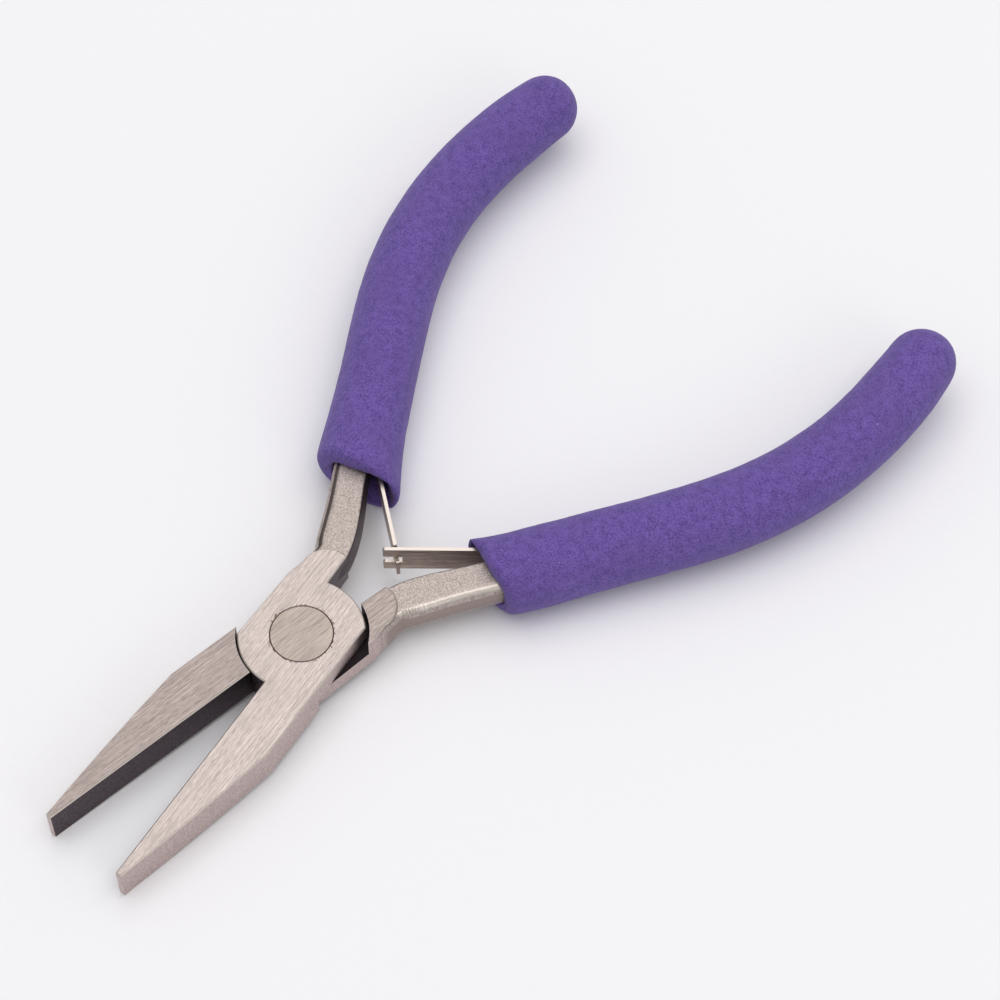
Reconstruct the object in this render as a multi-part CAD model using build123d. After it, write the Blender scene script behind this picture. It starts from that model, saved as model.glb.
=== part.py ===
"""Flat nose pliers with a lap joint, foam grips and a double leaf return spring.

Frame: millimetres, +Z up. The origin lies on the rivet's axis, on the underside of the flat head.
+Y points to the jaw tips and -Y to the grips. The upper lever has its jaw at -X and its handle at +X.
The lower lever is the same forging turned over, so its jaw is at +X and its handle at -X.
"""
from build123d import *
import os
from math import atan2, cos, degrees, radians, sin, tan

# ---- driving dimensions, in millimetres and degrees ------------------------------------------------
head_thickness = 5.4
jaw_reach = 38.2                 # rivet axis to jaw tip
jaw_half_angle = 8.15            # between each jaw's flat gripping face and the centre line, at rest
tip_width = 0.8
jaw_shoulder = (-8.3, 14.6)      # widest point of the jaw
jaw_bulge = (-7.4, 27.0)         # point on the jaw's curved outer edge
jaw_edge_break = 0.15

cheek_radius = 8.0               # round half-thickness cheek of each lever
recess_radius = 8.35             # round recess that the other lever's cheek turns in
recess_shift = -0.15             # the recess leaves a wider gap on the handle side
lap_gap = 0.04                   # running gap between the two cheeks

rivet_shaft_radius = 2.6
rivet_head_radius = 4.02
rivet_cone_depth = 1.5
rivet_edge_break = 0.12
rivet_clearance = 0.04

cheek_corner = (6.1, 5.17)       # where the cheek's arc meets its straight outer edge
cheek_side_angle = 72.8          # any point of that arc, from the X axis
cheek_lower_corner_x = -5.4      # where the jaw's straight outer edge meets the cheek's arc
handle_shoulder = (7.3, -5.4)
ground_end = ((7.05, -7.8), (5.9, -11.2), (3.3, -11.9))    # curved end of the ground head face
handle_notch = (2.54, -7.59)     # where the cheek's arc meets the handle's inner edge
root_outer_side = [(7.3, -5.4), (7.45, -6.8), (7.42, -8.85), (7.55, -10.5), (7.9, -11.9)]
root_inner_side = [(6.1, -12.4), (4.9, -8.6), (5.2, -5.4)]
root_thickness = 4.4
root_edge_radius = 0.9

# The handle's centre line in plan, from inside the head to the closed end of the grip.
handle_route = [(4.2, -9.2), (6.6, -13.7), (9.9, -19.0), (12.0, -22.0), (17.4, -31.7),
                (25.0, -44.2), (31.3, -58.1), (33.5, -73.2), (31.9, -89.1)]
# Forged handle and tang: distance along the route, width, thickness, draft of the inner side.
handle_stations = [(0.0, 3.0, 4.0, 0.5), (2.5, 5.0, 4.3, 0.5), (5.0, 5.5, 4.4, 0.5), (9.0, 5.3, 4.4, 0.5),
                   (13.0, 5.0, 4.4, 0.4), (17.0, 4.8, 4.4, 0.05), (23.0, 4.8, 4.4, 0.05),
                   (30.0, 4.8, 4.3, 0.05), (38.0, 4.8, 4.3, 0.05), (48.0, 4.6, 4.2, 0.05),
                   (58.0, 4.4, 4.1, 0.05), (68.0, 4.0, 3.8, 0.05), (77.0, 3.5, 3.5, 0.05)]
outer_draft = 0.25
outer_edge_radius = 1.3          # ground round
inner_edge_radius = 0.3
mid_height_corner = 0.1          # section corners this near mid height stay sharp

# Foam grip: distance along the route, half width, half height, shift towards the inner side.
grip_stations = [(10.0, 5.5, 5.0, 0.95), (20.0, 5.35, 5.15, 0.4), (34.0, 5.1, 5.15, 0.0),
                 (50.0, 5.1, 5.1, 0.0), (66.0, 4.95, 4.9, 0.0), (82.8, 4.65, 4.6, 0.0)]
grip_end_turns = (20, 38, 54, 68, 79)      # degrees round the closed end
grip_mouth = (11.25, -22.15)     # centre of the open end
grip_mouth_slope = 13.6          # degrees between the mouth and the X axis
bore_gap = 0.2                   # foam bore to the tang
tang_end_gap = 0.5
pocket_stations = [(9.0, 2.4), (18.0, 2.3), (26.0, 1.7), (37.0, 1.5)]    # room for the leaf spring
pocket_overlap = 0.4             # pocket into the bore
pocket_headroom = 0.35           # above and below the leaf
mouth_cutter = (60, 40)          # larger than the grip, along and across the mouth

# Leaf springs: strips that stand on edge and cross behind the joint.
leaf_height = 4.5
leaf_thickness = 0.45
leaf_seat_gap = 0.08             # leaf to the handle's inner face
leaf_bend_offset = 0.35          # bend line to the handle's inner face
leaf_corner_radius = 0.3
bar_corner_radius = 0.2
foot_shares = (0, 0.33, 0.67, 1)           # points along the foot's curve
leaf_crossing = (-0.45, -17.0)
hook_bend_distance = 17.8        # along the handle's route
fork_bend_distance = 18.6
foot_length = 17.0
bend_gap = 0.35                  # from the bend line to the foot, and to the blade
fork_overrun = 1.7               # fork prongs beyond the crossing
slot_depth = 2.45
slot_height = 1.3
slot_rise = -0.05                # slot's centre above the leaf's centre
neck_height = 0.95
hook_shoulder = 0.5              # full-height hook leaf ends this far before the crossing
hook_bar_start = 0.6
hook_bar_length = 0.55
hook_bar_top = 0.6               # above the leaf's centre
hook_bar_bottom = -2.3

spring_rivet_distance = 9.0      # from the bend line
spring_rivet_radius = 1.0
spring_rivet_head_radius = 1.6
spring_rivet_head_height = 0.7
spring_rivet_depth = 3.0
spring_rivet_clearance = 0.05

mid_height = head_thickness / 2
turned_over = Pos(0, 0, head_thickness) * Rot(0, 180, 0)


# ---- helpers -----------------------------------------------------------------------------------------
route = Spline(*[(x, y, mid_height) for x, y in handle_route])


def station(distance, sideways=0.0):
    """Plane across the handle's route; its x axis points to the outer side and its y axis up."""
    along = distance / route.length
    heading = route % along
    outward = Vector(0, 0, 1).cross(heading)
    return Plane(origin=route @ along + outward * sideways, x_dir=outward, z_dir=heading)


def between(stations, distance):
    """Values at a distance along the route, in a straight line between the two nearest stations."""
    for lower, upper in zip(stations, stations[1:]):
        if distance <= upper[0] or upper is stations[-1]:
            share = (distance - lower[0]) / (upper[0] - lower[0])
            return [a + (b - a) * share for a, b in zip(lower[1:], upper[1:])]


def handle_section(distance, grow=0.0):
    """Six-sided forged section, widest at mid height, with its outer corners ground round."""
    width, thickness, draft = between(handle_stations, distance)
    side, top = width / 2 + grow, thickness / 2 + grow
    section = make_face(Polyline(
        (-side, 0), (draft - side, top), (side - outer_draft, top), (side, 0),
        (side - outer_draft, -top), (draft - side, -top), close=True,
    ))
    corners = section.vertices().filter_by(lambda v: abs(v.Y) > mid_height_corner).sort_by(Axis.X)
    section = fillet(corners[2:], outer_edge_radius + grow)
    corners = section.vertices().filter_by(lambda v: abs(v.Y) > mid_height_corner).sort_by(Axis.X)
    section = fillet(corners[:2], inner_edge_radius + grow)
    return station(distance) * section


def handle_solid(grow=0.0, end_gap=0.0):
    """Forged handle and tang, or with grow the space that clears them."""
    cuts = [distance for distance, *_ in handle_stations]
    cuts[-1] += end_gap
    return loft([handle_section(distance, grow) for distance in cuts])


def inner_face_offset(distance):
    """Distance from the route to the handle's inner face."""
    return between(handle_stations, distance)[0] / 2


def on_inner_face(distance, stand_off):
    """Plan point that stands off the handle's inner face."""
    point = station(distance, -inner_face_offset(distance) - stand_off).origin
    return point.X, point.Y


def inner_face_strip(distances, near, far, height):
    """Solid on edge along the handle's inner face, between two stand-offs at each distance."""
    close = Spline(*[on_inner_face(d, gap) for d, gap in zip(distances, near)])
    away = Spline(*[on_inner_face(d, gap) for d, gap in zip(distances, far)])
    outline = make_face(Wire([close, Line(close @ 1, away @ 1), away, Line(away @ 0, close @ 0)]))
    return Pos(0, 0, mid_height - height / 2) * extrude(outline, height)


# ---- levers ------------------------------------------------------------------------------------------
def rivet_solid(grow=0.0, edge_break=0.0):
    """Countersunk rivet through the head, flush on both faces."""
    shaft = rivet_shaft_radius + grow
    head = rivet_head_radius + grow
    top = head_thickness
    profile = make_face(Polyline(
        (0, 0), (head - edge_break, 0), (head, rivet_edge_break),
        (shaft, rivet_cone_depth), (shaft, top - rivet_cone_depth), (head, top - rivet_edge_break),
        (head - edge_break, top), (0, top), close=True,
    ))
    return revolve(Plane.XZ * profile, Axis.Z)


def head_outline():
    """Plan of the ground head and jaw of the upper lever."""
    slope = tan(radians(jaw_half_angle))
    side_angle = radians(cheek_side_angle)
    root_angle = radians(90 + jaw_half_angle)
    root = (cheek_radius * cos(root_angle), cheek_radius * sin(root_angle))
    tip = (-jaw_reach * slope, jaw_reach)
    tip_corner = (tip[0] - tip_width, jaw_reach)
    lower_corner = (cheek_lower_corner_x, -(cheek_radius ** 2 - cheek_lower_corner_x ** 2) ** 0.5)
    cheek_side = (cheek_radius * cos(side_angle), cheek_radius * sin(side_angle))
    edge = [
        Line(root, tip),
        Line(tip, tip_corner),
        ThreePointArc(tip_corner, jaw_bulge, jaw_shoulder),
        Line(jaw_shoulder, lower_corner),
        ThreePointArc(lower_corner, (0, -cheek_radius), handle_notch),
        Line(handle_notch, ground_end[2]),
        ThreePointArc(ground_end[2], ground_end[1], ground_end[0]),
        Line(ground_end[0], handle_shoulder),
        Line(handle_shoulder, cheek_corner),
        ThreePointArc(cheek_corner, cheek_side, root),
    ]
    return make_face(Wire(edge))


def handle_root():
    """Forging that carries the head's outer side on into the handle."""
    outer = Spline(*root_outer_side)
    inner = Polyline(outer @ 1, *root_inner_side, outer @ 0)
    outline = make_face(Wire([outer, *inner.edges()]))
    root = Pos(0, 0, mid_height - root_thickness / 2) * extrude(outline, root_thickness)
    outer_rims = root.edges().filter_by(GeomType.BSPLINE)
    return fillet(outer_rims, root_edge_radius)


def upper_lever():
    """Jaw, half-thickness cheek and forged handle in one piece."""
    plate = extrude(head_outline(), head_thickness)
    rims = plate.edges().filter_by(lambda e: abs(e.center().Z - mid_height) > mid_height - 0.01)
    plate = chamfer(rims, jaw_edge_break)
    recess = Pos(0, recess_shift, 0) * extrude(Circle(recess_radius), mid_height + lap_gap / 2)
    return plate + handle_solid() + handle_root() - recess - rivet_solid(rivet_clearance)


# ---- grips -------------------------------------------------------------------------------------------
def grip():
    """Dipped foam sleeve over the upper lever's tang, closed and rounded at its far end."""
    last, half_width, half_height, _ = grip_stations[-1]
    stations = list(grip_stations)
    for turn in grip_end_turns:
        shrink = cos(radians(turn))
        stations.append((last + half_width * sin(radians(turn)), half_width * shrink, half_height * shrink, 0))
    sleeve = loft([station(d, -shift) * Ellipse(wide, high) for d, wide, high, shift in stations])
    cut_width, cut_depth = mouth_cutter
    cutter = Pos(0, cut_depth / 2, 0) * Box(cut_width, cut_depth, cut_depth)
    mouth = Pos(*grip_mouth, mid_height) * Rot(0, 0, grip_mouth_slope) * cutter
    pocket = inner_face_strip([d for d, _ in pocket_stations], [-pocket_overlap] * len(pocket_stations),
                              [depth for _, depth in pocket_stations], leaf_height + 2 * pocket_headroom)
    return sleeve - mouth - handle_solid(bore_gap, tang_end_gap) - pocket


# ---- leaf springs ------------------------------------------------------------------------------------
def leaf_foot(bend_distance):
    """The part of a leaf that lies on the handle's inner face inside the grip."""
    start = bend_distance + bend_gap
    reach = [start + foot_length * share for share in foot_shares]
    near = [leaf_seat_gap] * len(reach)
    far = [leaf_seat_gap + leaf_thickness] * len(reach)
    strip = inner_face_strip(reach, near, far, leaf_height)
    hole = spring_rivet(bend_distance, spring_rivet_clearance, head=False)
    return strip - hole


def spring_rivet(bend_distance, grow=0.0, head=True):
    """Round-head rivet that holds a leaf's foot against the handle."""
    distance = bend_distance + spring_rivet_distance
    seat = station(distance, -inner_face_offset(distance) - leaf_seat_gap - leaf_thickness)
    outward = seat.x_dir
    reach = spring_rivet_depth + leaf_thickness + leaf_seat_gap
    frame = Plane(origin=seat.origin, z_dir=outward)
    body = frame * extrude(Circle(spring_rivet_radius + grow), reach + grow)
    if head:
        r, h = spring_rivet_head_radius, spring_rivet_head_height
        ball = (r * r + h * h) / (2 * h)
        dome = Sphere(ball) & Pos(0, 0, -ball) * Box(4 * ball, 4 * ball, 2 * h)
        body += frame * Pos(0, 0, ball - h) * dome
    return body


def leaf_place(bend):
    """Plane on a leaf's bend line whose x axis runs along its blade, and the distance to the crossing."""
    run = Vector(leaf_crossing[0] - bend[0], leaf_crossing[1] - bend[1])
    return Plane(origin=(*bend, mid_height), x_dir=run, z_dir=(0, 0, 1)), run.length


def plain_blade(end, round_corners):
    """Strip on edge along the x axis, from near the bend line, with the far corners rounded."""
    start = bend_gap / 2
    strip = Pos((start + end) / 2, 0, 0) * Box(end - start, leaf_thickness, leaf_height)
    if round_corners:
        return fillet(strip.edges().filter_by(Axis.Y).sort_by(Axis.X)[-2:], leaf_corner_radius)
    return strip


def fork_blade(bend):
    """Free leaf with an open slot in its end."""
    place, run = leaf_place(bend)
    end = run + fork_overrun
    slot = Pos(end, 0, slot_rise) * Box(2 * slot_depth, 2 * leaf_thickness, slot_height)
    strip = plain_blade(end, round_corners=False) - slot
    prong_ends = strip.edges().filter_by(Axis.Y).sort_by(Axis.X)[-4:]
    return place * fillet(prong_ends, leaf_corner_radius)


def hook_blade(bend):
    """Free leaf whose narrow neck passes the fork's slot and ends in a cross bar."""
    place, run = leaf_place(bend)
    shoulder = run - hook_shoulder
    strip = plain_blade(shoulder, round_corners=True)
    neck_length = hook_shoulder + hook_bar_start + hook_bar_length
    neck = Box(neck_length, leaf_thickness, neck_height)
    bar_height = hook_bar_top - hook_bar_bottom
    bar = Box(hook_bar_length, leaf_thickness, bar_height)
    bar = fillet(bar.edges().filter_by(Axis.Y), bar_corner_radius)
    strip += Pos(shoulder + neck_length / 2, 0, slot_rise) * neck
    strip += Pos(run + hook_bar_start + hook_bar_length / 2, 0, hook_bar_bottom + bar_height / 2) * bar
    return place * strip


def build():
    """Every separate piece, by node name."""
    lever = upper_lever()
    upper_holes = spring_rivet(hook_bend_distance, spring_rivet_clearance, head=False)
    lower_holes = spring_rivet(fork_bend_distance, spring_rivet_clearance, head=False)
    sleeve = grip()
    hook_bend = on_inner_face(hook_bend_distance, leaf_bend_offset)
    fork_bend = on_inner_face(fork_bend_distance, leaf_bend_offset)
    fork_bend = (-fork_bend[0], fork_bend[1])
    print(f"handle route length {route.length:.2f}")
    for name, bend in (("hook", hook_bend), ("fork", fork_bend)):
        angle = degrees(atan2(leaf_crossing[1] - bend[1], leaf_crossing[0] - bend[0]))
        print(f"{name} bend line at {bend[0]:.3f}, {bend[1]:.3f}, leaf heading {angle:.2f}")
    return {
        "upper_lever": lever - upper_holes,
        "lower_lever": turned_over * (lever - lower_holes),
        "joint_rivet": rivet_solid(edge_break=rivet_edge_break),
        "upper_lever_grip": sleeve,
        "lower_lever_grip": turned_over * sleeve,
        "hook_spring_foot": leaf_foot(hook_bend_distance),
        "hook_spring_blade": hook_blade(hook_bend),
        "fork_spring_foot": turned_over * leaf_foot(fork_bend_distance),
        "fork_spring_blade": fork_blade(fork_bend),
        "hook_spring_rivet": spring_rivet(hook_bend_distance),
        "fork_spring_rivet": turned_over * spring_rivet(fork_bend_distance),
    }


os.makedirs("parts", exist_ok=True)
for node, solid in build().items():
    export_step(solid, f"parts/{node}.step")
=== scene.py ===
import math

import bmesh
import bpy
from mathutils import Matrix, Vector, noise
from mathutils.bvhtree import BVHTree


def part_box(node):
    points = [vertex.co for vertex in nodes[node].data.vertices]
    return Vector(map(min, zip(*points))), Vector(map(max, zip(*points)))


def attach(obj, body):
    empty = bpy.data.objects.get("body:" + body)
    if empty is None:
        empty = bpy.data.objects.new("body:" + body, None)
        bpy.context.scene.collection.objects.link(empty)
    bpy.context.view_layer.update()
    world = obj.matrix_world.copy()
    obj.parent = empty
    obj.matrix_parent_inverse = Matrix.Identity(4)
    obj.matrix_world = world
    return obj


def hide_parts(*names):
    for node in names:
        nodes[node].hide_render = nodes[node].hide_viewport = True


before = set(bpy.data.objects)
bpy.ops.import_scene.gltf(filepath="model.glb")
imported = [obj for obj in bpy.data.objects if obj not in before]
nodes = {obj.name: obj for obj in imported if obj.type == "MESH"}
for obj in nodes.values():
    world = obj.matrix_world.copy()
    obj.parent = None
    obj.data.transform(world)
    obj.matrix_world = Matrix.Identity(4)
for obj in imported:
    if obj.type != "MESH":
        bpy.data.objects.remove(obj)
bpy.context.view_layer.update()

# Flat nose pliers. Metres and the row frame for every place; MM turns millimetres into metres.
MM = 0.001
UP = Vector((0, 0, 1))

# ---- sizes that the frame gives ------------------------------------------------------------------------
head_low, head_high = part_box("joint_rivet")
HEAD_THICKNESS = head_high.z - head_low.z
MIDDLE = head_low.z + HEAD_THICKNESS / 2
RIVET_RADIUS = (head_high.x - head_low.x) / 2


# ---- materials -----------------------------------------------------------------------------------------
class Paint:
    """One material, with short calls that add its nodes. Places in it are in millimetres."""

    def __init__(self, name, metallic, side=1):
        self.material = bpy.data.materials.new(name)
        self.material.use_nodes = True
        self.tree = self.material.node_tree
        self.surface = self.tree.nodes["Principled BSDF"]
        self.surface.inputs["Metallic"].default_value = metallic
        where = self.tree.nodes.new("ShaderNodeTexCoord")
        self.place = self.vector("MULTIPLY", where.outputs["Object"], (side / MM, 1 / MM, 1 / MM))
        self.normal = self.vector("MULTIPLY", where.outputs["Normal"], (side, 1, 1))

    def put(self, socket, value):
        if isinstance(value, bpy.types.NodeSocket):
            self.tree.links.new(value, socket)
        else:
            socket.default_value = value

    def math(self, operation, *values):
        node = self.tree.nodes.new("ShaderNodeMath")
        node.operation = operation
        for socket, value in zip(node.inputs, values):
            self.put(socket, value)
        return node.outputs[0]

    def vector(self, operation, *values):
        node = self.tree.nodes.new("ShaderNodeVectorMath")
        node.operation = operation
        for socket, value in zip(node.inputs, values):
            self.put(socket, value)
        return node.outputs["Vector"]

    def parts(self, vector):
        node = self.tree.nodes.new("ShaderNodeSeparateXYZ")
        self.put(node.inputs[0], vector)
        return node.outputs

    def fade(self, value, start, end):
        """0 before start, 1 after end, and smooth between. End may lie below start."""
        node = self.tree.nodes.new("ShaderNodeMapRange")
        node.interpolation_type = "SMOOTHSTEP"
        self.put(node.inputs["Value"], value)
        low, high = min(start, end), max(start, end)
        node.inputs["From Min"].default_value = low
        node.inputs["From Max"].default_value = high
        node.inputs["To Min"].default_value = 0 if start < end else 1
        node.inputs["To Max"].default_value = 1 if start < end else 0
        return node.outputs["Result"]

    def number(self, share, first, second):
        """A number that goes from first to second with share."""
        node = self.tree.nodes.new("ShaderNodeMix")
        node.data_type = "FLOAT"
        for socket, value in zip(node.inputs[:4], (share, None, first, second)):
            if value is not None:
                self.put(socket, value)
        return node.outputs[0]

    def colour(self, share, first, second):
        """A colour that goes from first to second with share."""
        node = self.tree.nodes.new("ShaderNodeMix")
        node.data_type = "RGBA"
        for socket, value in zip((node.inputs[0], *node.inputs[6:8]), (share, first, second)):
            self.put(socket, (*value, 1) if isinstance(value, tuple) else value)
        return node.outputs[2]

    def noise(self, size, detail=2.0, place=None):
        """Even noise whose features are about size millimetres."""
        node = self.tree.nodes.new("ShaderNodeTexNoise")
        self.put(node.inputs["Vector"], place or self.place)
        node.inputs["Scale"].default_value = 1 / size
        node.inputs["Detail"].default_value = detail
        return node.outputs["Fac"]

    def streaks(self, angle, length, width, detail=2.0, height=None):
        """Noise drawn out along the direction at angle degrees in plan."""
        node = self.tree.nodes.new("ShaderNodeMapping")
        node.vector_type = "TEXTURE"
        self.put(node.inputs["Vector"], self.place)
        node.inputs["Rotation"].default_value = (0, 0, math.radians(angle))
        node.inputs["Scale"].default_value = (length, width, height or width)
        return self.noise(1.0, detail, node.outputs["Vector"])

    def dots(self, spacing, radius, share):
        """Round dots, one in a share of the cells that are spacing millimetres across."""
        node = self.tree.nodes.new("ShaderNodeTexVoronoi")
        self.put(node.inputs["Vector"], self.place)
        node.inputs["Scale"].default_value = 1 / spacing
        kept = self.fade(self.parts(node.outputs["Color"])[0], 1 - share - 0.01, 1 - share)
        near = self.fade(node.outputs["Distance"], radius / spacing, 0.5 * radius / spacing)
        return self.math("MULTIPLY", kept, near)

    def radius(self):
        """Distance from the rivet's axis."""
        x, y, _ = self.parts(self.place)
        return self.math("SQRT", self.math("ADD", self.times(x, x), self.times(y, y)))

    def times(self, first, *rest):
        for value in rest:
            first = self.math("MULTIPLY", first, value)
        return first

    def finish(self, colour, roughness, height, depth):
        """Links the colour, the roughness and a bump of this depth in millimetres."""
        bump = self.tree.nodes.new("ShaderNodeBump")
        bump.inputs["Distance"].default_value = depth * MM
        self.put(bump.inputs["Height"], height)
        self.put(self.surface.inputs["Base Color"], colour)
        self.put(self.surface.inputs["Roughness"], roughness)
        self.put(self.surface.inputs["Normal"], bump.outputs["Normal"])
        return self.material


# Sizes in millimetres and angles in degrees that the masks and marks need.
STEEL_BUMP = 0.03
FOAM_BUMP = 0.06
GRAIN_ANGLE = 98.0               # grinding marks run along the gripping face
RIVET_GRAIN_ANGLE = 84.0
SCRATCH_TURN = 24.0              # from the grinding marks to the scratches
HANDLE_ANGLE = -61.0             # the forged handle's direction behind the head
HEAD_END = -7.0                  # y of the start of the handle
JAW_START = 5.5                  # y of the start of the gripping face
WALL_NEAR = 7.9                  # the cheek's and the recess's round walls lie
WALL_FAR = 8.6                   # between these distances from the rivet's axis
EDGE_BREAK = 0.15                # height of the broken edge under each ground face
BORE_PAINTED_SHADE = 0.85              # share of painted shade, near black, in the grips' bores
LEAF_ANGLES = {"hook_spring": 142.8, "fork_spring": 40.5}    # rolling marks along each leaf
SPRING_RIVET_ANGLE = 30


class LeverMasks:
    """Shares from 0 to 1 that tell the kinds of surface on a lever apart."""

    def __init__(self, paint, ridge_start):
        x, y, z = paint.parts(paint.place)
        across, along, upward = paint.parts(paint.normal)
        half = HEAD_THICKNESS / MM / 2
        off_middle = paint.math("ABSOLUTE", paint.math("SUBTRACT", z, MIDDLE / MM))
        flatness = paint.math("ABSOLUTE", upward)
        radius = paint.radius()

        self.ground = paint.fade(off_middle, half - 0.03, half - 0.01)
        self.not_ground = paint.math("SUBTRACT", 1.0, self.ground)
        near_edge = paint.fade(off_middle, half - EDGE_BREAK - 0.02, half - EDGE_BREAK)
        self.broken_edge = paint.times(near_edge, self.not_ground)

        self.handle = paint.fade(y, HEAD_END + 1, HEAD_END - 1)
        self.near_head = paint.fade(y, HEAD_END - 9.0, HEAD_END - 4.0)
        self.flank = paint.times(paint.fade(flatness, 0.35, 0.12), self.handle)
        facing = paint.times(across, paint.number(self.handle, 1.0, -1.0))
        self.ridge = paint.times(self.handle, paint.fade(flatness, *ridge_start),
                                 paint.fade(flatness, 0.985, 0.93), paint.fade(facing, -0.1, -0.3))

        outward = paint.math("ADD", paint.times(x, across), paint.times(y, along))
        outward = paint.math("ABSOLUTE", paint.math("DIVIDE", outward, radius))
        round_wall = paint.times(paint.fade(outward, 0.95, 0.98),
                                 paint.fade(radius, WALL_NEAR - 0.05, WALL_NEAR + 0.05),
                                 paint.fade(radius, WALL_FAR + 0.05, WALL_FAR - 0.05))
        inner_face = paint.math("MAXIMUM", self.handle, paint.fade(y, JAW_START, JAW_START + 1.5))
        gripping = paint.times(paint.fade(facing, 0.3, 0.5), paint.fade(flatness, 0.8, 0.6), inner_face)
        # The lap faces, flat at mid-height where the two levers meet, lie in shade; they are painted near
        # black as painted shade.
        self.lap_shade = paint.times(paint.fade(off_middle, 0.2, 0.1), paint.fade(flatness, 0.6, 0.8))
        # The dark mask joins the blackened gripping faces, the round walls and the lap faces' painted
        # shade.
        self.dark = paint.math("MAXIMUM", gripping, paint.math("MAXIMUM", round_wall, self.lap_shade))

        # A thin dark seam round the rivet, ragged where burrs of the head are torn away.
        ragged = paint.fade(paint.noise(0.5, 4.0), 0.50, 0.64)
        reach = paint.number(ragged, 0.04, 0.42)
        faint = paint.fade(paint.noise(2.3, 2.0), 0.40, 0.55)
        outside = paint.math("SUBTRACT", radius, RIVET_RADIUS / MM)
        seam = paint.times(paint.fade(paint.math("DIVIDE", outside, reach), 1.0, 0.6), self.ground)
        self.seam = paint.times(seam, paint.number(faint, 0.45, 0.95))


def lever_steel(name, side, bright, dull, ridge_painted_light_tones, ridge_start):
    """Ground flat faces, satin edges, blackened gripping faces and a grainy forged handle, with painted
    light on the handle's edge ridge and painted shade on the lap faces.
    """
    paint = Paint(name, 1.0, side)
    on = LeverMasks(paint, ridge_start)

    long_marks = paint.streaks(GRAIN_ANGLE, 4.2, 0.085, 3.0)
    short_marks = paint.streaks(GRAIN_ANGLE, 1.0, 0.06, 2.0)
    marks = paint.number(0.5, long_marks, short_marks)
    cloud = paint.noise(5.0)
    forged_grain = paint.number(0.2, paint.noise(0.17, 2.0), paint.noise(0.7, 4.0))
    cross_marks = paint.streaks(HANDLE_ANGLE + 90, 2.6, 0.16, 3.0, height=2.6)
    cross_marks = paint.number(on.near_head, 0.5, cross_marks)
    fine = paint.noise(0.3, 4.0)
    pits = paint.dots(2.1, 0.13, 0.35)
    scratches = paint.fade(paint.streaks(GRAIN_ANGLE - SCRATCH_TURN, 5.0, 0.09, 1.0), 0.70, 0.78)

    ground_colour = paint.colour(paint.fade(marks, 0.34, 0.66), dull, bright)
    ground_colour = paint.colour(paint.times(paint.fade(cloud, 0.45, 0.75), 0.25), ground_colour, dull)
    side_colour = paint.colour(paint.fade(fine, 0.3, 0.7), (0.45, 0.37, 0.355), (0.64, 0.53, 0.51))
    forged_colour = paint.fade(forged_grain, 0.32, 0.66)
    forged_colour = paint.colour(forged_colour, (0.33, 0.28, 0.255), (0.65, 0.57, 0.53))
    forged_colour = paint.colour(paint.times(on.flank, 0.75), forged_colour, (0.34, 0.275, 0.255))
    # Painted light: the chamfered ridge along the handle's outer edge takes the tones given per lever, near
    # black as painted shade on the upper lever and bright as a painted highlight on the lower one.
    ridge_painted_light = paint.colour(paint.fade(cross_marks, 0.35, 0.65), *ridge_painted_light_tones)
    black_head = paint.colour(paint.fade(fine, 0.35, 0.7), (0.055, 0.040, 0.048), (0.120, 0.090, 0.108))
    black_handle = paint.colour(fine, (0.11, 0.09, 0.10), (0.26, 0.22, 0.24))
    black_colour = paint.colour(on.handle, black_head, black_handle)
    black_colour = paint.colour(paint.times(scratches, 0.35), black_colour, (0.30, 0.24, 0.19))
    # Painted shade: the lap faces are made near black.
    black_colour = paint.colour(paint.times(on.lap_shade, 0.85), black_colour, (0.012, 0.010, 0.012))

    colour = paint.colour(on.handle, side_colour, forged_colour)
    colour = paint.colour(on.ridge, colour, ridge_painted_light)
    colour = paint.colour(on.dark, colour, black_colour)
    colour = paint.colour(paint.times(pits, on.not_ground), colour, (0.12, 0.09, 0.08))
    colour = paint.colour(on.ground, colour, ground_colour)
    colour = paint.colour(paint.times(on.broken_edge, 0.8), colour, (0.74, 0.67, 0.61))
    colour = paint.colour(on.seam, colour, (0.13, 0.09, 0.075))

    head_roughness = paint.number(fine, 0.42, 0.56)
    roughness = paint.number(on.handle, head_roughness, paint.number(forged_grain, 0.5, 0.7))
    roughness = paint.number(on.ridge, roughness, paint.number(cross_marks, 0.24, 0.42))
    roughness = paint.number(on.dark, roughness, paint.number(fine, 0.38, 0.55))
    roughness = paint.number(on.ground, roughness, paint.number(marks, 0.30, 0.46))

    height = paint.number(on.handle, paint.times(fine, 0.35), paint.times(forged_grain, 1.6))
    height = paint.number(on.ridge, height, paint.times(cross_marks, 0.9))
    height = paint.math("SUBTRACT", height, paint.times(pits, 0.8))
    height = paint.number(on.ground, height, paint.times(marks, 0.5))
    return paint.finish(colour, roughness, height, STEEL_BUMP)


def rivet_steel(name):
    """Ground rivet heads whose marks run a little differently from the head's."""
    paint = Paint(name, 1.0)
    long_marks = paint.streaks(RIVET_GRAIN_ANGLE, 5.5, 0.09, 3.0)
    short_marks = paint.streaks(RIVET_GRAIN_ANGLE, 1.5, 0.06, 2.0)
    marks = paint.number(0.4, long_marks, short_marks)
    colour = paint.colour(paint.fade(marks, 0.34, 0.66), (0.222, 0.184, 0.164), (0.475, 0.40, 0.36))
    rim = paint.fade(paint.radius(), RIVET_RADIUS / MM - 0.2, RIVET_RADIUS / MM - 0.1)
    colour = paint.colour(paint.times(rim, 0.7), colour, (0.17, 0.12, 0.10))
    return paint.finish(colour, paint.number(marks, 0.32, 0.48), paint.times(marks, 0.5), STEEL_BUMP)


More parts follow.
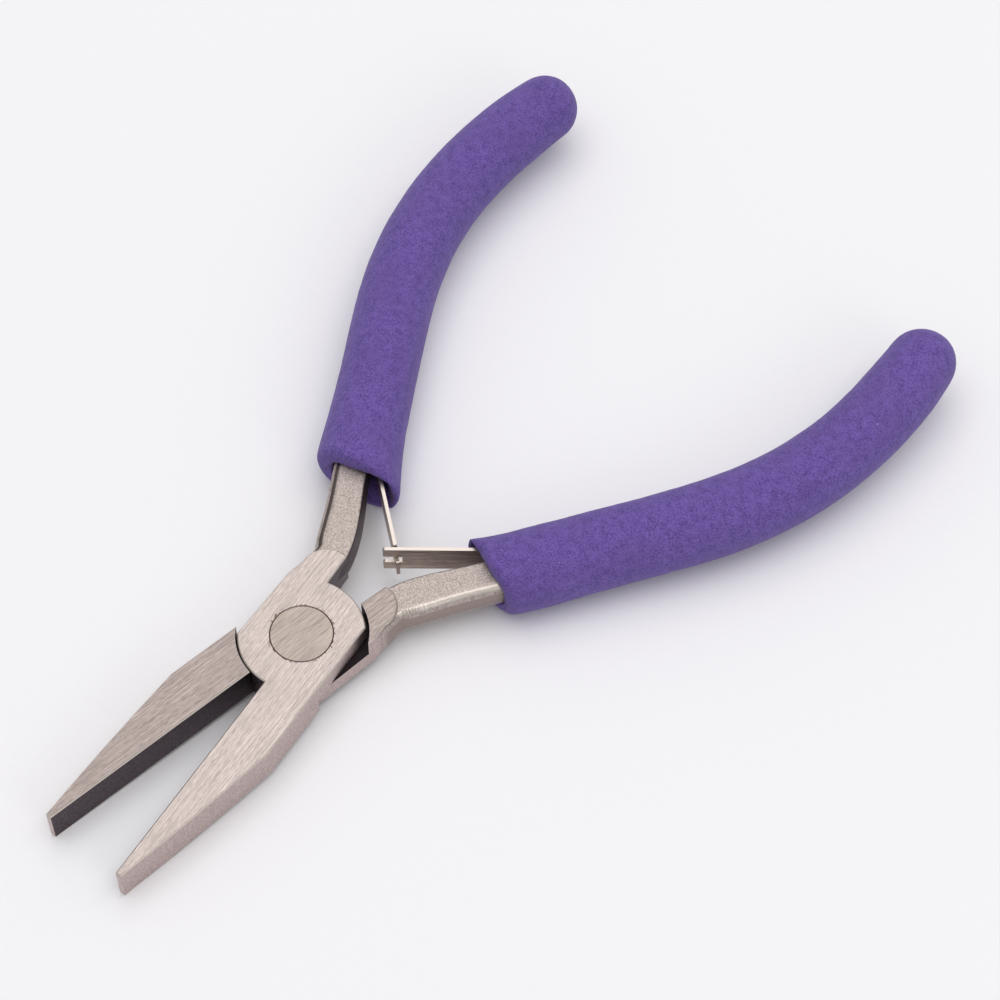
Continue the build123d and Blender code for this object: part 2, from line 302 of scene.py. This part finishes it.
def spring_steel(name, angle):
    """Rolled strip: faint marks along the leaf, a brownish bloom and bright cut edges."""
    paint = Paint(name, 1.0)
    _, _, upward = paint.parts(paint.normal)
    marks = paint.streaks(angle, 4.0, 0.14, 3.0)
    bloom = paint.noise(1.6, 3.0)
    colour = paint.colour(paint.fade(marks, 0.35, 0.65), (0.30, 0.235, 0.205), (0.60, 0.49, 0.43))
    colour = paint.colour(paint.times(paint.fade(bloom, 0.5, 0.72), 0.5), colour, (0.27, 0.21, 0.18))
    edge = paint.fade(paint.math("ABSOLUTE", upward), 0.3, 0.6)
    colour = paint.colour(edge, colour, (0.60, 0.53, 0.48))
    spots = paint.dots(1.3, 0.09, 0.3)
    colour = paint.colour(paint.times(spots, 0.7), colour, (0.10, 0.07, 0.06))
    roughness = paint.number(marks, 0.30, 0.46)
    return paint.finish(colour, roughness, paint.times(marks, 0.4), STEEL_BUMP)


def foam(name, bore_shade):
    """Matte fine-grained foam with tiny pores, a few light specks, faint scuffs and, by the given share,
    painted shade near black.
    """
    paint = Paint(name, 0.0)
    grain = paint.noise(0.14, 3.0)
    mottle = paint.number(0.4, paint.noise(0.26, 2.0), paint.noise(1.1, 4.0))
    cloud = paint.noise(7.0)
    pores = paint.dots(0.75, 0.11, 0.55)
    specks = paint.dots(2.2, 0.10, 0.45)
    scuffs = paint.times(paint.fade(paint.noise(9.0, 4.0), 0.58, 0.72), paint.fade(grain, 0.5, 0.62))
    colour = paint.colour(paint.fade(mottle, 0.3, 0.7), (0.066, 0.036, 0.190), (0.168, 0.104, 0.395))
    colour = paint.colour(paint.times(paint.fade(grain, 0.46, 0.62), 0.5), colour, (0.20, 0.13, 0.43))
    colour = paint.colour(paint.times(paint.fade(cloud, 0.4, 0.7), 0.35), colour, (0.124, 0.074, 0.27))
    colour = paint.colour(paint.times(pores, 0.65), colour, (0.05, 0.026, 0.15))
    colour = paint.colour(paint.times(scuffs, 0.3), colour, (0.24, 0.17, 0.45))
    colour = paint.colour(paint.times(specks, 0.85), colour, (0.55, 0.47, 0.70))
    # Painted shade: the given share turns the foam near black, for the shade inside the grips' bores.
    colour = paint.colour(bore_shade, colour, (0.022, 0.013, 0.035))
    height = paint.math("ADD", paint.times(grain, 0.6), paint.times(mottle, 0.9))
    height = paint.math("SUBTRACT", height, paint.times(pores, 0.9))
    paint.surface.inputs["Specular IOR Level"].default_value = 0.25
    paint.surface.inputs["Sheen Weight"].default_value = 0.12
    paint.surface.inputs["Sheen Roughness"].default_value = 0.5
    return paint.finish(colour, paint.number(mottle, 0.78, 0.92), height, FOAM_BUMP)


def wear(obj, material):
    obj.data.materials.clear()
    obj.data.materials.append(material)


wear(nodes["upper_lever"], lever_steel(
    "upper_lever_steel", side=1, bright=(0.58, 0.503, 0.469), dull=(0.29, 0.245, 0.228),
    # Painted shade: the upper lever's ridge tones are near black, as its chamfer faces away from the light.
    ridge_painted_light_tones=((0.10, 0.08, 0.077), (0.20, 0.16, 0.15)), ridge_start=(0.72, 0.80)))
wear(nodes["lower_lever"], lever_steel(
    # Painted shade: the lower lever's ground tones are darker than the upper lever's, in place of the
    # grinding marks' reflection, which turns with their direction.
    "lower_lever_steel", side=-1, bright=(0.435, 0.365, 0.34), dull=(0.192, 0.158, 0.146),
    # Painted highlight: the lower lever's ridge tones are bright, as its chamfer catches the light.
    ridge_painted_light_tones=((0.36, 0.31, 0.275), (0.74, 0.67, 0.62)), ridge_start=(0.52, 0.64)))
wear(nodes["joint_rivet"], rivet_steel("joint_rivet_steel"))
for leaf, angle in LEAF_ANGLES.items():
    wear(nodes[f"{leaf}_rivet"], spring_steel(f"{leaf}_rivet_steel", SPRING_RIVET_ANGLE))
    for part in ("foot", "blade"):
        wear(nodes[f"{leaf}_{part}"], spring_steel(f"{leaf}_{part}_steel", angle))


# ---- foam grips ----------------------------------------------------------------------------------------
RING_POINTS = 96
OUTSIDE = 9 * MM                 # a ray from here reaches the sleeve before anything else
FAR_OUTSIDE = 1.3 * OUTSIDE
MARCH_STEP = 1.0 * MM
RING_STEP = 0.45 * MM
FULL_WIDTH = 9.0 * MM            # narrower than this is the closed end
HALF_WIDTH = 5.5 * MM            # of the mouth
MOUTH_REACH = 3.6 * MM           # the slanting mouth lies within this of the grip's highest y
SETTLE_DEPTH = 7 * MM            # rings turn from the mouth's slant to the sleeve's direction
END_LIFTS = range(6, 90, 6)      # degrees from ring to ring over the closed end
FOAM_UNEVEN = 0.055 * MM
MOUTH_UNEVEN = 0.12 * MM
LIP_RADIUS = 1.4 * MM
LIP_SHARE = 0.8                  # most of the foam's wall that the lip may take
LIP_SHARES = (1.0, 0.85, 0.7, 0.55, 0.4, 0.25, 0.12)
BORE_LIP_RADIUS = 0.35 * MM
BORE_LIP_TURNS = (30, 60, 90)
GAPE_DEPTH = 4.5 * MM            # the bore gapes at the mouth, on the leaf's side
GAPE_SHARE = 0.55                # of the foam's wall there
GAPE_INWARD = 0.8                # how much of the gape points to the tool's centre line
GAPE_DOWNWARD = 0.75
SWELL_DEPTH = 10.0 * MM          # the mouth's own width fades out this deep
SET_BACK_DEPTH = 5.0 * MM        # the set back of the mouth's inner side fades out this deep
BORE_DEPTHS = [depth * MM for depth in (16, 12, 9, 6.5, 4.5, 3, 2, 1.2, 0.7)]


def uneven(point, amount):
    """Slow unevenness of moulded foam, as a length."""
    slow = noise.noise(point / (5 * MM))
    quick = noise.noise(point / (1.3 * MM) + Vector((7, 3, 5)))
    return amount * (slow + 0.45 * quick)


def ring_directions(heading):
    sideways = heading.cross(UP).normalized()
    above = sideways.cross(heading).normalized()
    turns = [2 * math.pi * i / RING_POINTS for i in range(RING_POINTS)]
    return [sideways * math.cos(turn) + above * math.sin(turn) for turn in turns]


def turned(degrees):
    """Cosine and sine."""
    return math.cos(math.radians(degrees)), math.sin(math.radians(degrees))


class Sleeve:
    """Rings of points round one CAD grip, found with rays from its middle line.

    handle_side is 1 where the handle lies at +X and -1 at -X. The mouth's inner and outer sides are
    swollen by inner_swell and outer_swell, and its inner side is set back by set_back.
    """

    def __init__(self, node, handle_side, inner_swell, outer_swell, set_back):
        mesh = nodes[node].data
        self.tree = BVHTree.FromPolygons([v.co for v in mesh.vertices], [p.vertices for p in mesh.polygons])
        self.handle_side = handle_side
        self.inner_swell = inner_swell
        self.outer_swell = outer_swell
        self.set_back = set_back
        self.mouth, self.outward = self.open_end(node)
        middle = self.middle_line()
        start = middle[0] + self.outward * (self.mouth - middle[0]).dot(self.outward)
        self.line = [start, *middle]
        self.length = (len(middle) - 1.01) * MARCH_STEP

    def open_end(self, node):
        """Centre and outward direction of the grip's flat mouth."""
        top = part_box(node)[1].y
        flat = [p for p in nodes[node].data.polygons
                if abs(p.normal.z) < 0.01 and p.normal.y > 0.9 and p.center.y > top - MOUTH_REACH]
        area = sum(p.area for p in flat)
        centre = sum((p.center * p.area for p in flat), Vector()) / area
        direction = sum((p.normal * p.area for p in flat), Vector()).normalized()
        return centre, direction

    def middle_line(self):
        """Points down the middle, from the sleeve's two sides, until it narrows to its closed end."""
        points = []
        here = self.mouth
        heading = -self.outward
        while True:
            here = here + heading * MARCH_STEP
            sideways = heading.cross(UP)
            walls = [self.tree.ray_cast(here + sideways * OUTSIDE * s, -sideways * s)[0] for s in (1, -1)]
            if None in walls or (walls[0] - walls[1]).length < FULL_WIDTH:
                return points
            middle = (walls[0] + walls[1]) / 2
            middle.z = MIDDLE
            if points:
                heading = (heading + (middle - points[-1]).normalized()).normalized()
            points.append(middle)
            here = middle

    def place_at(self, depth):
        """Centre and heading of the ring that lies this deep behind the mouth."""
        position = min(depth / MARCH_STEP, len(self.line) - 2.001)
        first = int(position)
        share = position - first
        line = self.line
        centre = line[first].lerp(line[first + 1], share)
        ahead = (line[min(first + 2, len(line) - 1)] - line[max(first - 1, 0)]).normalized()
        settle = min(depth / SETTLE_DEPTH, 1)
        return centre, (-self.outward).lerp(ahead, settle).normalized()

    def innerness(self, direction):
        """How far a direction points to the tool's centre line."""
        return -direction.x * self.handle_side

    def surface(self, centre, directions):
        """Outer surface in these directions, made a little uneven."""
        points = []
        for direction in directions:
            hit = self.tree.ray_cast(centre + direction * FAR_OUTSIDE, -direction)[0]
            points.append(hit + direction * uneven(hit, FOAM_UNEVEN))
        return points

    def outer_ring(self, depth):
        """Outer points at this depth, with the mouth's inner and outer sides swollen a little."""
        centre, heading = self.place_at(depth)
        directions = ring_directions(heading)
        fading = max(0.0, 1 - depth / SWELL_DEPTH) ** 2
        points = []
        for point, direction in zip(self.surface(centre, directions), directions):
            inner = self.innerness(direction)
            swell = self.inner_swell * max(inner, 0) + self.outer_swell * max(-inner, 0)
            points.append(point + direction * swell * fading)
        return points

    def bore_ring(self, depth):
        """Bore points at this depth, which gape towards the leaf near the mouth."""
        centre, heading = self.place_at(depth)
        fading = max(0.0, 1 - depth / GAPE_DEPTH) ** 2
        points = []
        for far, direction in zip(self.outer_ring(depth), ring_directions(heading)):
            near = self.tree.ray_cast(centre, direction)[0]
            leaf_side = GAPE_INWARD * self.innerness(direction) + GAPE_DOWNWARD * max(-direction.z, 0)
            points.append(near.lerp(far, GAPE_SHARE * fading * min(max(leaf_side, 0), 1)))
        return points

    def mouth_rings(self):
        """Rings from the bore's rounded edge, over the mouth's face, to the outer lip."""
        outward = self.outward
        bore = self.bore_ring(BORE_LIP_RADIUS)
        centre = self.place_at(BORE_LIP_RADIUS)[0]
        away = [(point - centre).normalized() for point in bore]
        rings = [bore]
        for turn in BORE_LIP_TURNS:
            c, s = turned(turn)
            rings.append([b + d * BORE_LIP_RADIUS * (1 - c) + outward * BORE_LIP_RADIUS * s
                          for b, d in zip(bore, away)])
        face_inner = rings[-1]
        rim = self.outer_ring(LIP_RADIUS)
        corners = []
        for near, far in zip(rim, self.outer_ring(2 * LIP_RADIUS)):
            run = (near - far).normalized()
            corners.append(near + run * (self.mouth - near).dot(outward) / run.dot(outward))
        face_outer = [c.lerp(f, min(LIP_SHARE, LIP_RADIUS / (f - c).length))
                      for c, f in zip(corners, face_inner)]
        for share in (0.33, 0.67):
            face = [a.lerp(b, share) for a, b in zip(face_inner, face_outer)]
            rings.append([point + outward * uneven(point, MOUTH_UNEVEN) for point in face])
        for share in LIP_SHARES:
            rings.append([r.lerp(c, share).lerp(c.lerp(f, share), share)
                          for r, c, f in zip(rim, corners, face_outer)])
        return rings

    def body_rings(self):
        """Rings along the outside, and over the closed end."""
        count = int(self.length / RING_STEP)
        run = self.length - LIP_RADIUS
        rings = [self.outer_ring(LIP_RADIUS + run * i / count) for i in range(count + 1)]
        centre, heading = self.place_at(self.length)
        for lift in END_LIFTS:
            c, s = turned(lift)
            rings.append(self.surface(centre, [d * c + heading * s for d in ring_directions(heading)]))
        return rings

    def poles(self):
        """Middle points of the bore's deep end and of the closed end."""
        bore_end = self.place_at(BORE_DEPTHS[0])[0]
        centre, heading = self.place_at(self.length)
        return bore_end, self.tree.ray_cast(centre + heading * FAR_OUTSIDE, -heading)[0]

    def set_back_inner_side(self, verts):
        for vert in verts:
            fading = max(0.0, 1 - (self.mouth - vert.co).dot(self.outward) / SET_BACK_DEPTH) ** 2
            inner = (self.mouth.x - vert.co.x) * self.handle_side / HALF_WIDTH
            vert.co -= self.outward * self.set_back * fading * max(inner, 0)


def grip_piece(node, body, handle_side, inner_swell, outer_swell, set_back):
    """A sleeve of foam with a rounded mouth, an open bore and a round closed end."""
    sleeve = Sleeve(node, handle_side, inner_swell, outer_swell, set_back)
    bore_rings = [sleeve.bore_ring(depth) for depth in BORE_DEPTHS]
    mesh = bmesh.new()
    rings = [[mesh.verts.new(point) for point in ring]
             for ring in (*bore_rings, *sleeve.mouth_rings(), *sleeve.body_rings())]
    for number, (near, far) in enumerate(zip(rings, rings[1:])):
        for i in range(RING_POINTS):
            j = (i + 1) % RING_POINTS
            wall = mesh.faces.new((near[i], near[j], far[j], far[i]))
            # Bore faces take material 1, the foam with painted shade.
            wall.material_index = 1 if number < len(BORE_DEPTHS) else 0
    for ring, point, order in zip((rings[0], rings[-1]), sleeve.poles(), (-1, 1)):
        pole = mesh.verts.new(point)
        for i in range(RING_POINTS):
            j = (i + 1) % RING_POINTS
            mesh.faces.new((ring[i], ring[j], pole)[::order])
    sleeve.set_back_inner_side(mesh.verts)
    bmesh.ops.recalc_face_normals(mesh, faces=mesh.faces)
    data = bpy.data.meshes.new(f"{node}_foam")
    mesh.to_mesh(data)
    mesh.free()
    data.polygons.foreach_set("use_smooth", [True] * len(data.polygons))
    piece = bpy.data.objects.new(f"{node}_foam", data)
    bpy.context.scene.collection.objects.link(piece)
    wear(piece, foam(f"{node}_purple_foam", 0.0))
    # The bore's faces wear a second foam whose colour is painted shade, near black.
    data.materials.append(foam(f"{node}_bore_painted_shade_foam", BORE_PAINTED_SHADE))
    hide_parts(node)
    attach(piece, body)


grip_piece("upper_lever_grip", "upper", handle_side=1, inner_swell=0.8 * MM, outer_swell=0.0, set_back=0.0)
grip_piece("lower_lever_grip", "lower", handle_side=-1, inner_swell=0.0, outer_swell=-0.5 * MM,
           set_back=0.75 * MM)


# ---- floor, light and camera ---------------------------------------------------------------------------
JAW_TIP_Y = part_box("upper_lever")[1].y
FLOOR_SLOPE = 0.0348             # the tool rests on its jaw tips and on the grips' mouths
FLOOR_GAP = 0.02 * MM            # under the jaw tips
FLOOR_SIZE = 6.0
SKY_HEIGHTS = (0.05, 0.55)       # sines of the angles above the horizon
SKY_TONES = (0.36, 0.60)         # at those heights
LIGHT_TARGET = Vector((0, -20, 0)) * MM


def paper_floor():
    bpy.ops.mesh.primitive_plane_add(size=FLOOR_SIZE, location=(0, JAW_TIP_Y, head_low.z - FLOOR_GAP))
    floor = bpy.context.active_object
    floor.name = "floor"
    floor.rotation_euler = (math.atan(FLOOR_SLOPE), 0, 0)
    paper = Paint("floor_paper", 0.0)
    paper.surface.inputs["Specular IOR Level"].default_value = 0.2
    grain = paper.noise(0.8, 3.0)
    colour = paper.colour(grain, (0.865, 0.855, 0.875), (0.885, 0.875, 0.895))
    wear(floor, paper.finish(colour, 0.9, grain, 0.01))


def sky():
    """A grey surround that is darker near the horizon."""
    world = bpy.data.worlds.new("studio")
    bpy.context.scene.world = world
    world.use_nodes = True
    tree = world.node_tree
    background = tree.nodes["Background"]
    where = tree.nodes.new("ShaderNodeTexCoord")
    height = tree.nodes.new("ShaderNodeSeparateXYZ")
    tree.links.new(where.outputs["Generated"], height.inputs[0])
    shade = tree.nodes.new("ShaderNodeMapRange")
    shade.interpolation_type = "SMOOTHSTEP"
    tree.links.new(height.outputs["Z"], shade.inputs["Value"])
    for socket, value in zip(("From Min", "From Max", "To Min", "To Max"), (*SKY_HEIGHTS, *SKY_TONES)):
        shade.inputs[socket].default_value = value
    tree.links.new(shade.outputs["Result"], background.inputs["Color"])
    background.inputs["Strength"].default_value = 1.0


def softbox(name, azimuth, elevation, distance, size, watts):
    """A square area light that looks at the tool; azimuth is measured from +X towards +Y."""
    a, e = math.radians(azimuth), math.radians(elevation)
    away = Vector((math.cos(a) * math.cos(e), math.sin(a) * math.cos(e), math.sin(e)))
    data = bpy.data.lights.new(name, "AREA")
    data.size = size
    data.energy = watts
    lamp = bpy.data.objects.new(name, data)
    bpy.context.scene.collection.objects.link(lamp)
    lamp.location = LIGHT_TARGET + away * distance
    lamp.rotation_mode = "QUATERNION"
    lamp.rotation_quaternion = away.to_track_quat("Z", "Y")


AIM = Vector((-3.6, -33.4, 0)) * MM
CAMERA_AZIMUTH = 221.0           # 0 looks along +Y
CAMERA_ELEVATION = 58.24
CAMERA_DISTANCE = 0.3957
CAMERA_LENS = 110.0


def camera():
    a, e = math.radians(CAMERA_AZIMUTH), math.radians(CAMERA_ELEVATION)
    back = Vector((math.sin(a) * math.cos(e), -math.cos(a) * math.cos(e), math.sin(e)))
    data = bpy.data.cameras.new("camera")
    data.lens = CAMERA_LENS
    data.clip_start = 0.01
    data.clip_end = 20
    eye = bpy.data.objects.new("camera", data)
    bpy.context.scene.collection.objects.link(eye)
    eye.location = AIM + back * CAMERA_DISTANCE
    eye.rotation_mode = "QUATERNION"
    eye.rotation_quaternion = (-back).to_track_quat("-Z", "Y")
    bpy.context.scene.camera = eye


paper_floor()
sky()
softbox("overhead_light", azimuth=-80, elevation=81, distance=1.1, size=1.3, watts=7.7)
softbox("side_light", azimuth=172, elevation=32, distance=0.9, size=0.30, watts=0.50)
camera()
bpy.context.scene.view_settings.view_transform = "Standard"
